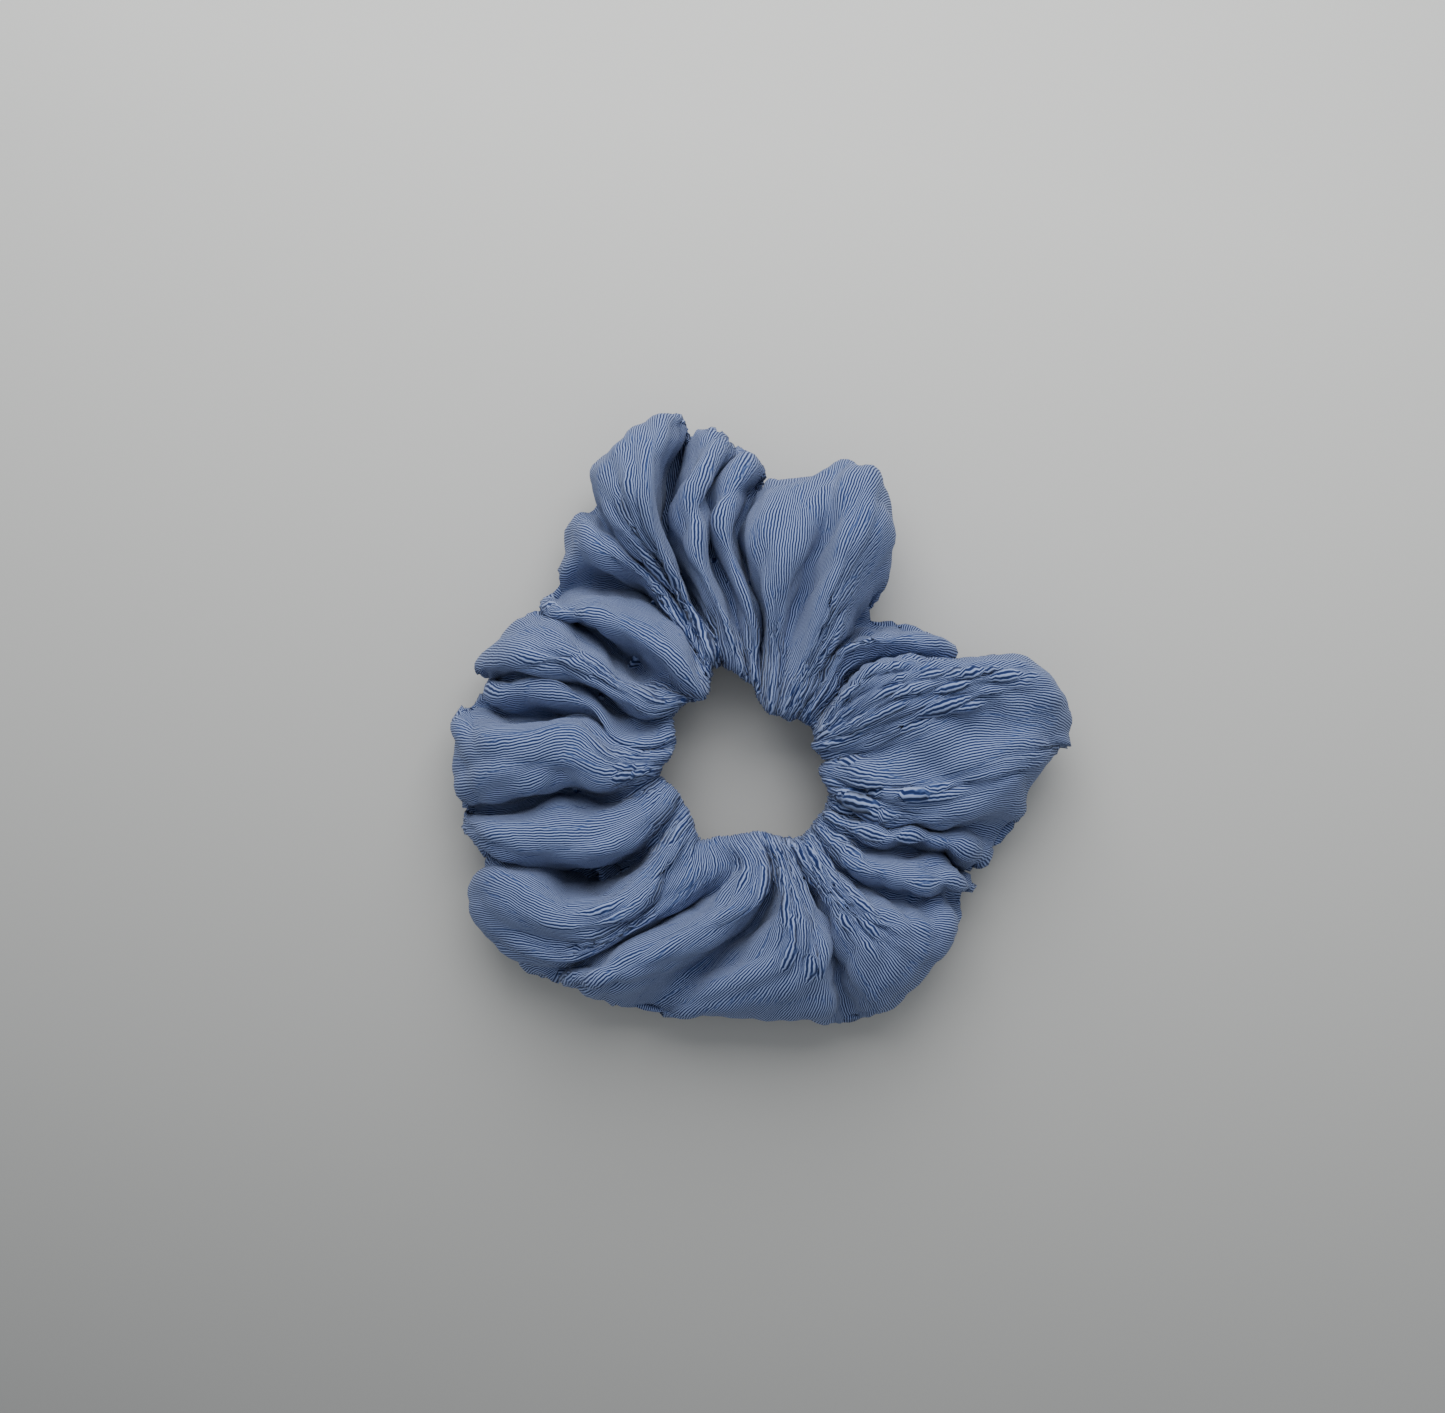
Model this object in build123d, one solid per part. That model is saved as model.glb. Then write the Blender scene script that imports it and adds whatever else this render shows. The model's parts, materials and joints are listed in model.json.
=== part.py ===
"""A scrunchie: one tube of cloth gathered over a loop of flat braided elastic.

Frame, in millimetres: the origin is the centre of the hair opening, at the middle of the elastic's
width. +Z points up, away from the table that the scrunchie lies on. The stretch joint runs along +X:
the right half slides away from the left one as the elastic stretches, so the cloth, and what is sewn
into it, is cut at the plane X = 0 with a small gap. The elastic itself stays one loop.
"""

from build123d import *
from math import cos, pi, radians, sin
import os

# Hair opening, narrowest round the hair and flared above and below
grip_radius = 15.0
grip_height = 9.0
top_flare = 8.0
bottom_flare = 5.0
neck_wall = 2.0  # tightly gathered cloth behind the grip wall

# Cloth tube, gathered and lying flat
top_height = 17.0  # from the middle of the elastic up to the top of the lobes
rest_drop = 14.0  # from the middle of the elastic down to the table
cloth_wall = 1.0  # one ply with its crinkle
stretch_gap = 0.3  # between the two halves, across the stretch joint

# How far the gathered lobes stand out from the grip wall, at equal steps counter-clockwise from +X
LOBES = (47.5, 47.0, 31.0, 26.5, 41.0, 45.0, 47.0, 53.5, 44.0, 36.5, 38.0, 41.0)
LOBES += (40.0, 39.0, 46.5, 42.0, 38.5, 36.0, 35.0, 38.0, 40.0, 38.5, 35.5, 39.5)

# Side of the lobes: share of the height above the table, and share of the reach at that height
LOBE_SIDE = ((0, 0.82), (0.2, 0.96), (0.45, 1), (0.75, 0.9), (1, 0.6))

# Flat elastic, its short ends lapped and sewn
elastic_clearance = 5.0  # from the gathered neck to the inner face of the elastic
elastic_width = 6.0
elastic_thickness = 1.1
elastic_overlap = 12.0
elastic_ply_gap = 0.05
elastic_join_angle = 180
elastic_ramp_angle = 25  # turn over which the top end climbs onto the bottom one
PATH_STEPS = 72

# Long seam, with its two allowances standing up inside the tube
seam_clearance = 5.0  # from the elastic's outer face out to the seam
seam_allowance = 6.0
allowance_ply = 0.4
stitch_rise = 1.2  # from the inside of the cloth up to the stitch line

# Closing seam round the tube, where its two ends meet
closing_seam_angle = -64

# Sewing thread, pulled half of its thickness into what it sews
thread = 0.3
zigzag_legs = 10
zigzag_margin = 0.8  # from the elastic's edges and ends to the zigzag

# Worked out
elastic_radius = grip_radius + neck_wall + elastic_clearance
lap_rise = elastic_thickness + elastic_ply_gap
seam_radius = elastic_radius + elastic_thickness + lap_rise + seam_clearance
far = 4 * (grip_radius + max(LOBES) + top_height + rest_drop)  # larger than the whole part


def beside(side):
    """Everything on one side of the stretch gap: side is +1 for the right half, -1 for the left."""
    return Pos(side * (stretch_gap + far) / 2, 0, 0) * Box(far, far, far)


def opening(growth):
    """The hair opening, made wider: straight at the grip, flared to the tube's top and bottom."""
    grip = grip_radius + growth
    profile = Polyline(
        (0, -far),
        (grip + bottom_flare, -far),
        (grip + bottom_flare, -rest_drop),
        (grip, -grip_height / 2),
        (grip, grip_height / 2),
        (grip + top_flare, top_height),
        (grip + top_flare, far),
        (0, far),
        close=True,
    )
    return revolve(Plane.XZ * make_face(profile), Axis.Z)


def lobes(inset):
    """Solid inside the outer face of the lobes, by that inset, with no hair opening."""
    low = inset - rest_drop
    high = top_height - inset
    outlines = []
    for height_share, reach_share in LOBE_SIDE:
        points = []
        for i, lobe in enumerate(LOBES):
            angle = 2 * pi * i / len(LOBES)
            reach = grip_radius + lobe * reach_share - inset
            points.append((reach * cos(angle), reach * sin(angle)))
        outline = Wire([Spline(*points, periodic=True)])
        outlines.append(Pos(0, 0, low + (high - low) * height_share) * outline)
    return Solid.make_loft(outlines)


def tube(inset, opening_inset):
    """Solid inside the tube's outer face, by one inset at the lobes and another at the opening."""
    return lobes(inset) - opening(opening_inset)


def ring(inner_radius, outer_radius, low, high):
    """Square-edged ring about the Z axis."""
    height = high - low
    return Pos(0, 0, low + height / 2) * (
        Cylinder(outer_radius, height) - Cylinder(inner_radius, height)
    )


def cover():
    """The whole cloth tube: thin wall, gathered neck at the opening, seam allowances inside."""
    inside_floor = cloth_wall - rest_drop
    allowances = ring(
        seam_radius - allowance_ply,
        seam_radius + allowance_ply,
        inside_floor - cloth_wall / 2,
        inside_floor + seam_allowance,
    )
    return tube(0, 0) - tube(cloth_wall, neck_wall) + allowances


def long_seam_thread(face_radius):
    """Thread all the way along one face of the seam allowances."""
    level = cloth_wall - rest_drop + stitch_rise
    return ring(
        face_radius - thread / 2, face_radius + thread / 2, level - thread / 2, level + thread / 2
    )


def closing_seam_thread(inset):
    """Turn of thread round the tube at the closing seam, on the face at that inset.

    In the opening it lies flush with the cloth, so that the grip stays round.
    """
    half = thread / 2
    sunk = max(inset - half, 0)
    skin = tube(inset - half, sunk) - tube(inset + half, sunk + thread)
    cut = Rot(0, 0, closing_seam_angle) * Pos(far / 2, 0, far / 2 - rest_drop) * Box(far, thread, far)
    return skin & cut


def elastic_reach(turned, offset):
    """Radius of the elastic's inner face, plus an offset, that many degrees from its bottom end."""
    climb = (turned - 360 + elastic_ramp_angle) / elastic_ramp_angle
    climb = min(max(climb, 0), 1)
    return elastic_radius + lap_rise * (1 - cos(pi * climb)) / 2 + offset


def elastic_edge(offset):
    """Points along the elastic, from its bottom end round to its top one."""
    lap_angle = elastic_overlap / elastic_radius * 180 / pi
    points = []
    for i in range(PATH_STEPS + 1):
        turned = (360 + lap_angle) * i / PATH_STEPS
        angle = radians(elastic_join_angle - lap_angle / 2 + turned)
        reach = elastic_reach(turned, offset)
        points.append((reach * cos(angle), reach * sin(angle)))
    return points


def elastic():
    """Flat elastic bent into a loop, its top end lapped over its bottom one."""
    inner = elastic_edge(0)
    outer = elastic_edge(elastic_thickness)
    outline = [
        Spline(*inner),
        Line(inner[-1], outer[-1]),
        Spline(*outer),
        Line(outer[0], inner[0]),
    ]
    strip = extrude(make_face(outline), elastic_width)
    return Pos(0, 0, -elastic_width / 2) * strip


def zigzag_thread(face_radius):
    """Zigzag across the lapped ends of the elastic, on one face."""
    half_height = elastic_width / 2 - zigzag_margin
    turn = (elastic_overlap - 2 * zigzag_margin) / elastic_radius
    corners = []
    for i in range(zigzag_legs + 1):
        angle = radians(elastic_join_angle) + turn * (i / zigzag_legs - 0.5)
        height = half_height if i % 2 else -half_height
        corners.append(Vector(face_radius * cos(angle), face_radius * sin(angle), height))
    stitches = Location(corners[0]) * Sphere(thread / 2)
    for a, b in zip(corners, corners[1:]):
        leg = Plane(origin=(a + b) / 2, z_dir=b - a).location * Cylinder(thread / 2, (b - a).length)
        stitches = stitches + leg + Location(b) * Sphere(thread / 2)
    return stitches


def build():
    """Every node by name."""
    nodes = {
        "elastic_band": elastic(),
        "elastic_join_needle_thread": zigzag_thread(elastic_radius + elastic_thickness + lap_rise),
        "elastic_join_bobbin_thread": zigzag_thread(elastic_radius),
        "closing_seam_needle_thread": closing_seam_thread(0),
        "closing_seam_bobbin_thread": closing_seam_thread(cloth_wall),
    }
    sewn = {
        "cover": cover(),
        "long_seam_needle_thread": long_seam_thread(seam_radius + allowance_ply),
        "long_seam_bobbin_thread": long_seam_thread(seam_radius - allowance_ply),
    }
    for name, whole in sewn.items():
        nodes[f"{name}_left"] = whole & beside(-1)
        nodes[f"{name}_right"] = whole & beside(1)
    return nodes


os.makedirs("parts", exist_ok=True)
for name, shape in build().items():
    export_step(shape, f"parts/{name}.step")
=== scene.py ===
"""A scrunchie lying on a pale table: one tube of crinkled cloth, gathered over a loop of elastic.

The gathers are listed as folds, in order round the hair opening. Each fold is a line that the
cloth follows from the opening over the top and out to the rim, in millimetres in the frame's axes.
Crests and valleys take turns, and a surface through all of them is the cloth as it lies.
"""

import bpy
import numpy as np
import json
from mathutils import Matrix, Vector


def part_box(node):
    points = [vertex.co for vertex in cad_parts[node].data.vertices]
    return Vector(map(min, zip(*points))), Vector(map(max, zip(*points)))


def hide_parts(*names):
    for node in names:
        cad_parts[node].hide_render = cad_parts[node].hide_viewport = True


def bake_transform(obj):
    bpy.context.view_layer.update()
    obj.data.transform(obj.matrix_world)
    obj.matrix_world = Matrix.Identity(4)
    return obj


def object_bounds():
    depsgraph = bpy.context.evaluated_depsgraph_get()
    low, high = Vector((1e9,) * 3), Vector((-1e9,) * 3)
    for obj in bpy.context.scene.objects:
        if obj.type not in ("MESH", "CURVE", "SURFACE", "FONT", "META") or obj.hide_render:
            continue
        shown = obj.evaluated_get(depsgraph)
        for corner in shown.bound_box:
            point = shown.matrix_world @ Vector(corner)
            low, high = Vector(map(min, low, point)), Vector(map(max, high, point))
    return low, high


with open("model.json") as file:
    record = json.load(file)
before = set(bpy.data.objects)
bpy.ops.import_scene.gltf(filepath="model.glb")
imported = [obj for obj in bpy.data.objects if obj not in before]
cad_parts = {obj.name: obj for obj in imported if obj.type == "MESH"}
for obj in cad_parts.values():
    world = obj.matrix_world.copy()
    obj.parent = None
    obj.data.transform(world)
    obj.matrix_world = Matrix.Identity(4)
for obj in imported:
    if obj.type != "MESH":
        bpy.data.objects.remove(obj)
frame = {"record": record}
cad_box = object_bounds()

MM = 0.001
TABLE = cad_box[0][2] / MM
GRIP_RADIUS = frame["record"]["mounts"][0]["dims"]["r_mm"]

# Cloth as it was cut
CUT_LENGTH = 500.0
CUT_WIDTH = 116.0
SEAM_ALLOWANCE = 6.0
TUBE_GIRTH = CUT_WIDTH - 2 * SEAM_ALLOWANCE
CLOTH_THICKNESS = 0.35

# Its crinkle: the pitch of its lines, and the crowding (a power of two) at which each coarser pitch starts
CRINKLE_PITCH = 0.48
CROWD_LEVELS = (-1, -0.5, 0, 0.5, 1, 1.5, 2, 2.5, 3)
CROWD_STEP = (-0.35, -0.15)  # where the coarser lines start and finish taking over, from their level

# How the lines wander: by how much of a pitch, over how many pitches along them and how far across
LINE_WOBBLE = (0.45, 14.0, 1.8)
LINE_DRIFT = (1.2, 30, 18.0)

# Uneven yarn, pale patches, and single threads with painted glints on the pale ones: pitch along the ring,
# length across it, detail and seed
SLUB = (1.6, 7.0, 1.0, 7.0)
CLOUD = (12.0, 16.0, 3.0, 13.0)
FLECK_AND_GLINT = (0.45, 0.6, 0.0, 19.0)

# How much the lines (as painted shade and painted light) and these give to the cloth's tone, and the relief
# that goes with it
CRINKLE_SHADE_AND_LIGHT_SHARE = 0.8
SLUB_SHARE = 0.10
CLOUD_SHARE = 0.10
FLECK_AND_GLINT_SHARE = 0.14
SLUB_RELIEF = 0.6
CRINKLE_DEPTH = 0.00012  # metres

# Its colours (linear): painted shade in the furrows, its own colour between, and painted light on the
# ridges
FURROW_PAINTED_SHADE = (0.008, 0.02, 0.085)
CLOTH_COLOUR = (0.054, 0.09, 0.222)
RIDGE_PAINTED_LIGHT = (0.26, 0.33, 0.55)

# The other colours (linear), dark and pale: for the thread and the braid, painted shade between their
# strands and painted light on them
THREAD_SHADED_AND_LIT = ((0.05, 0.075, 0.15), (0.16, 0.21, 0.34))
BRAID_SHADED_AND_LIT = ((0.42, 0.41, 0.38), (0.78, 0.77, 0.73))
# The table's: painted shade towards the view's lower edge, and its own pale colour
TABLE_PAINTED_SHADE_AND_PALE = ((0.29, 0.29, 0.285), (0.64, 0.64, 0.62))
TABLE_PAINTED_SHADE_SPAN = (-0.17, 0.13)  # where the table's painted shade is darkest and where it is its own pale colour, in metres

# Long seam on the underside: how far round the tube from the opening it lies, as a share of the girth
SEAM_ROW_SHARE = 0.8
SEAM_SINK = 0.5
SEAM_SINK_ROWS = 1.2
ALLOWANCE_ROWS = 6
ALLOWANCE_SMOOTHINGS = 12
STITCH_RISE = 1.2
PLY_GAP = 0.05

# Closing seam, along the crease at the lower right
CLOSING_FOLD = 58

# Sewing thread and its stitches
THREAD = 0.28
THREAD_SIDES = 6
SLANT = (0.31, 0.22, 0.93)  # a direction that no stretch of thread follows
STITCH = 2.4
SURFACE_LIFT = 0.05  # a thread's middle above the cloth where it dives in and comes out
ZIGZAG_LEGS = 10
ZIGZAG_MARGIN = 0.8

# Elastic: the radius and width of its loop come from the frame's node, and the rest is here
ELASTIC_THICKNESS = 1.1
ELASTIC_ROOM = 0.7  # from the elastic to the cloth's outer face, its thickness included
ELASTIC_LAP = 12.15
ELASTIC_RAMP = 25.0  # degrees over which its top end climbs onto its bottom one
ELASTIC_STEPS = 420
BRAID_PITCH = 2.0
BRAID_RELIEF = 0.12
BRAID_COLUMNS = 17
BRAID_EDGE = 0.5  # width of the elastic's thinner edges
BRAID_EDGE_SHARE = 0.55  # their thickness, as a share of the middle's

# Wall of the opening: how closely it follows the folds' inner ends, and the radius the elastic leaves it
WALL_SHARE = 0.8
WALL_FURTHEST = 21.0
WALL_LOW = -4.5  # level of its lower end
WALL_FLARE = 1.08  # how much wider it is there

# Underside of each fold, from the rim in: share of the way out, and height above its lowest level
UNDERSIDE = ((0.95, 4.5), (0.82, 1.0), (0.62, 0.0), (0.45, 0.6), (0.36, 3.5))
UNDERSIDE_WALL = 0.9  # where the underside would meet the wall, as a share of the wall's radius
LOWEST = TABLE + 0.4
TUCK = 5.0  # how much higher the deepest valley's underside is than a crest's
TUCK_RANGE = 10.0  # difference in height between neighbouring folds that gives the whole tuck
RIM_DROP = 1.0  # from the fold's outer end down to the first point of its underside

# Mesh of the cover
COLUMNS = 520
FINE_COLUMNS = 2000
EVENNESS = 0.15
ROWS = 96

# Settling of the cloth: springs as (offset in the grid, most stretch towards the flat cut, stiffness)
SPRINGS = (
    ((1, 0), 1.7, 0.16),
    ((0, 1), 1.08, 0.16),
    ((1, 1), 1.35, 0.05),
    ((1, -1), 1.35, 0.05),
    ((2, 0), 1.4, 0.02),
    ((0, 2), 1.06, 0.04),
)
ROUNDS = 200
HOLD_LOOSE = 0.03
HOLD_TIGHT = 0.2
HOLD_POWER = 6  # how narrow the tightly held strips at the opening and the rim are
PUFF = 0.003

# How closely random waves keep to their pitch
PITCH_FOCUS = 1.6

# Bumps that the settling starts from, as (pitch, length, height), and the seed of the first
PLEATS = ((6.0, 22.0, 0.25), (14.0, 30.0, 0.8))
PLEAT_SEED = 7

# Creases added after it, as (pitch, length, lean, height), and the seed of the first
CREASES = ((22.0, 26.0, 0.8, 0.8), (11.0, 30.0, -0.3, 0.4), (6.0, 18.0, 0.2, 0.08))
CREASE_SEED = 30
CREASE_MEAN = 0.8  # mean size of a wave, taken off so that creases don't swell the cloth
CREASE_LEAST = 0.25  # share of their height that is left at the opening

# Deeper valleys before it and crisper folds after it
SMOOTHINGS = 60
VALLEY_DEEPENING = 1.1
VALLEY_START = 24.0  # distance from the middle at which the deepening starts
VALLEY_FADE = 6.0
TOP_SHARE = 0.48  # share of the rows that lie over the top
CRISPNESS = 0.5
CRISP_SMOOTHINGS = 14
OPENING_FADE = 8.0  # distance from the grip over which crispness and creases grow

# Smoothing of the crowding that the crinkle follows, as (axis, rounds)
CROWD_SMOOTHINGS = ((0, 5), (1, 3))

# Camera: straight above, with the frame's width and height on the table in view
VIEW_CENTRE = (-4.0, 11.5)
VIEW_WIDTH = 289.0
CAMERA_HEIGHT = 400.0
SENSOR = 36.0

# Light, and the table top
WORLD_STRENGTH = 0.36
WINDOW_PLACE = (0, 300, 320)
WINDOW_SIZE = 400
WINDOW_POWER = 2.5
SKY_STRENGTH = 0.55
SKY_SPREAD = 100  # degrees
TABLE_SIZE = 6  # metres

# Folds, counter-clockwise from the lobe on the right, each from the opening out to the rim
FOLDS = (
    ((16, -1, 6), (25, -3, 9), (34, -3, 11), (44, 0, 13), (55, 2, 12), (63, 2, 0)),
    ((17.5, 1, 5), (25, 2, 8.5), (31, 4.5, 11.5), (38, 7.5, 12.8),
     (46, 9, 13.2), (56, 7.5, 12.5), (65, 5, 1)),
    ((14.5, 3.5, 6), (22, 5.5, 10), (31, 9, 13), (42, 13.5, 15),
     (53, 15.5, 15), (60, 15, 12), (63.5, 12, 0)),
    ((14.6, 4.5, 6), (20, 7.5, 11), (27, 12, 14), (36, 16, 15),
     (45, 18.5, 15.5), (52, 20, 13), (56, 21, 0)),
    ((14.8, 5.5, 6), (18.5, 9.5, 10), (23.5, 14.5, 13), (30, 18, 13.5),
     (36, 19.5, 13), (41, 20.2, 9), (44, 20.5, -2)),
    ((14.6, 6.5, 6), (17.5, 11, 9), (21.5, 16, 12), (25, 19.3, 12),
     (29, 20.6, 10), (32, 20.8, 7), (34, 20.5, -3)),
    ((14, 7.8, 4), (18, 12.5, 4), (22, 17, 1), (26, 19.5, -4), (29, 20, -8), (30, 20.3, -10)),
    ((12.4, 8.7, 5), (17, 14.5, 7), (20.8, 20, 7), (27, 21.8, 7), (34, 22, 7), (40.5, 21, -2)),
    ((11.8, 9.2, 6), (16, 16, 8), (20, 22.5, 9), (26.5, 24.5, 9), (33, 25, 8), (40, 24.8, -2)),
    ((11, 9.5, 4), (14.5, 16, 5), (18.5, 22, 3), (22, 26, -1), (25, 28, -5), (27, 29.5, -8)),
    ((9.5, 9, 6), (14, 18, 10), (19, 27, 9), (24, 33, 7), (28, 38, -2)),
    ((8.5, 9.5, 7), (13, 20, 12), (18, 30, 13), (23, 39, 13), (27, 45, 11), (29.5, 47, -1)),
    ((7.5, 10, 7), (11.5, 21, 12), (16, 33, 15), (20, 44, 16), (23.5, 53, 13), (26, 57, -1)),
    ((6.5, 10, 5), (8.5, 22, 8), (11.5, 33, 10), (14.5, 43, 12), (17, 52, 12), (20, 59.5, -1)),
    ((5.5, 10.5, 7), (6.5, 22, 10), (7.5, 33, 13), (8.5, 43, 15), (10, 51, 13), (12.5, 57, -1)),
    ((4.5, 11.5, 6), (5, 20, 8), (5, 30, 11), (3.5, 38, 12), (2, 46, 12), (4.5, 52.5, 9), (7, 56, -2)),
    ((3.5, 13, 4), (3.6, 21, 4), (3.5, 30, 3), (1.5, 38, 2), (-1, 45, 2), (1, 52, 0), (4, 56, -6)),
    ((2.5, 16, 6), (2, 22, 7), (1, 32, 8), (-2, 40, 9), (-4, 48, 9), (-0.5, 56, 7), (1.5, 61.5, -2)),
    ((1, 17, 4), (0, 23, 4.5), (-2, 32, 4), (-6, 42, 3),
     (-7.5, 52, 2), (-4.5, 58.5, 0), (-1.5, 62.5, -6)),
    ((-1, 19, 6), (-2.5, 25, 8), (-5, 32, 10), (-9, 42, 11), (-9, 52, 10), (-6.5, 60, 7), (-4, 65.5, -2)),
    ((-3.5, 21, 5), (-4.5, 26, 6), (-7.5, 33, 7), (-11.5, 42, 7),
     (-12, 52, 6), (-10, 60, 3), (-7, 66.5, -4)),
    ((-5, 22.5, 4), (-7, 26, 4), (-11, 33, -3), (-14.5, 42, -8),
     (-16.2, 52, -9), (-14.5, 60, -9), (-10.5, 67, -10)),
    ((-6, 22.5, 5), (-9, 28, 6), (-13, 35, 8), (-16, 43, 12),
     (-17.5, 52, 15), (-16.5, 60, 14), (-13, 69, 0)),
    ((-6.5, 22, 6), (-9.5, 29, 7), (-14, 37, 9), (-18.5, 45, 14),
     (-21, 54, 17), (-20.5, 61, 14), (-18.5, 67, 0)),
    ((-7, 21, 5), (-10, 29.5, 7), (-15, 38, 8), (-21, 46, 13),
     (-24, 54, 14.5), (-24.5, 59, 12), (-24, 63.5, 0)),
    ((-7, 20, 6), (-10.5, 29.5, 6), (-16.5, 38, 8), (-23, 45, 12),
     (-27, 51, 12), (-29, 56, 9), (-29.5, 59, -2)),
    ((-7, 19, 4), (-11, 29, 5), (-17, 37.5, 5), (-23.5, 43, 7), (-27.5, 48, 5), (-28.5, 51.5, -6)),
    ((-7, 18, 5), (-11.5, 28, 5), (-18, 36.5, 6), (-25, 42, 10), (-30, 46, 9), (-34, 48, -2)),
    ((-7, 17, 5), (-12, 27.5, 4), (-19, 35.5, 5), (-26, 40, 9), (-31, 41.5, 8), (-35, 41.5, -2)),
    ((-7, 16, 4), (-11.5, 25, 4), (-17.5, 32.5, -2), (-25, 36.5, 0), (-31, 36, 1), (-37.5, 33.5, -6)),
    ((-7, 15, 6), (-11.5, 22, 8), (-18, 29, 7), (-26, 32, 8), (-33, 31.5, 7), (-38.5, 31.5, -3)),
    ((-8, 13.5, 7), (-13, 19, 11), (-20, 24.5, 12), (-27, 28, 12), (-33, 29.5, 9), (-38.5, 30, -2)),
    ((-9.5, 13, 4), (-14, 15.5, 5), (-20, 18.5, 2), (-26, 23.5, 1), (-31, 28, 2), (-37.5, 29.7, -6)),
    ((-11, 13, 6), (-15, 13, 8), (-22, 16, 10), (-30, 22, 12), (-37, 26.5, 10), (-42, 29, -2)),
    ((-12.5, 12, 7), (-17, 11.5, 10), (-24, 15, 13), (-32, 20, 14), (-41, 22.5, 13), (-49, 24, -1)),
    ((-13.5, 11, 6), (-18, 9.5, 9), (-24, 12.5, 11), (-31, 16.7, 12),
     (-40, 19.5, 12), (-47, 19.5, 9), (-53, 19.5, -2)),
    ((-14.5, 9.5, 4), (-19, 8.5, 3), (-24, 10.5, 2), (-29, 14, 4),
     (-38, 17.5, 6), (-45, 17.5, 5), (-50, 16.5, -6)),
    ((-14, 6, 6), (-19, 4.5, 9), (-25, 6, 9), (-29.5, 11.5, 10),
     (-36, 14.5, 10), (-44, 14.5, 9), (-50.5, 14.5, -3)),
    ((-14, 4, 5), (-19, 3, 7), (-25, 4.5, 5), (-29.5, 9.5, 4),
     (-36, 10, 3), (-44, 9.5, 3), (-53, 12, -5)),
    ((-15, 2, 7), (-20, 1.5, 10), (-26, 3, 12), (-32, 8, 12), (-40, 6.5, 13), (-49, 6, 11), (-57, 7, -1)),
    ((-16.5, 0, 7), (-21, -1, 11), (-27, -0.5, 14), (-34, 2.5, 15),
     (-42, 1, 15), (-50, 0, 12), (-56.5, -1, -1)),
    ((-17.5, -1.5, 6), (-22, -3, 10), (-28, -4.5, 11), (-35, -2, 12),
     (-42, -4.5, 11), (-50, -5.5, 9), (-56, -6.5, -2)),
    ((-17.5, -2.5, 4), (-22, -5, 6), (-28, -7.2, 4), (-35, -4.5, 4),
     (-42, -7.5, 3), (-49, -9, 2), (-55, -9, -6)),
    ((-16, -3.5, 5), (-21, -6.5, 8), (-28, -9, 9), (-36, -8, 9),
     (-44, -10, 8), (-50, -11, 6), (-55.5, -11, -3)),
    ((-14.5, -4.5, 6), (-19, -9, 10), (-27, -12.5, 12), (-36, -13, 13),
     (-44, -13.5, 11), (-50, -14, 8), (-54, -14, -2)),
    ((-13, -6, 6), (-17, -11, 9), (-24, -17, 11), (-33, -18, 11),
     (-41, -18, 9), (-47, -17.5, 5), (-50.5, -17.5, -3)),
    ((-12, -8, 4), (-15.5, -12.5, 5), (-21, -19, 0), (-29, -22.5, -6),
     (-36, -21.5, -6), (-42, -20, -3), (-48, -18.5, -7)),
    ((-11, -10, 6), (-14.5, -14.5, 8), (-20, -21, 9), (-28, -26.5, 9),
     (-36, -26, 10), (-43, -22, 10), (-50, -20, -2)),
    ((-10.5, -12, 6), (-13.5, -17, 9), (-19, -25, 11), (-28, -30, 12),
     (-38, -29.5, 13), (-46, -26, 12), (-54, -25, -2)),
    ((-10, -13.5, 6), (-13, -18.5, 8), (-18, -27, 9), (-27, -33, 10),
     (-37, -34, 10), (-45, -32, 9), (-53.5, -31, -3)),
    ((-8.5, -15.8, 5), (-9, -21, 8), (-14, -27.5, 8), (-25, -34, 9),
     (-33, -37.5, 9), (-41, -37.5, 7), (-48, -37, -3)),
    ((-5, -15, 5), (-2.5, -20, 6), (-6, -25.5, 5), (-14, -30, 4),
     (-24, -34.5, 5), (-33, -40, 4), (-40, -41.5, -4)),
    ((-2, -14.5, 6), (1, -20, 9), (-2, -26, 11), (-11, -31.5, 13),
     (-20, -37, 13), (-28, -41.5, 10), (-34, -44, -2)),
    ((1, -14, 6), (4, -20, 9), (3, -26, 11), (-4, -32, 12),
     (-12, -37.5, 12), (-20, -42.5, 9), (-27, -47.5, -2)),
    ((3, -13.8, 5), (5.5, -19.5, 7), (5.5, -26, 6), (0, -34, 4),
     (-7, -39, 4), (-13, -44, 4), (-20, -49, -5)),
    ((4.5, -14, 6), (7, -20, 10), (7.5, -28, 12), (4, -37, 12), (-2, -43, 10), (-10, -50.5, -1)),
    ((6, -14.5, 6), (9, -21, 11), (11, -29, 13), (11, -38, 13), (8, -45, 10), (3, -51, -1)),
    ((7.5, -15, 5), (11, -22, 9), (14, -29.5, 11), (16, -37, 11), (16.5, -44, 9), (15, -51.5, -2)),
    ((8.5, -15.5, 4), (12, -22.5, 6), (15.5, -29.5, 6), (18, -37, 6),
     (19.5, -43.5, 5), (21.5, -51.5, -6)),
    ((10, -16, 6), (14, -22.5, 9), (18, -29, 11), (22, -37, 12), (25, -43, 10), (28, -49, -1)),
    ((11.5, -15.5, 6), (16, -22.5, 10), (22, -29, 13), (28, -35, 13), (33, -40, 9), (36, -42, -1)),
    ((13, -14.8, 6), (18, -21.5, 9), (25, -27.5, 12), (32, -30.5, 12), (38, -33, 9), (42.5, -33.5, -1)),
    ((14, -14, 4), (19, -20.5, 6), (26, -24.8, 6), (33, -26.3, 6), (39, -25.8, 4), (43.5, -26, -5)),
    ((15, -12.8, 6), (20, -18, 9), (27, -21, 11), (34, -22, 11), (40, -22.5, 8), (45.5, -24.5, -1)),
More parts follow.
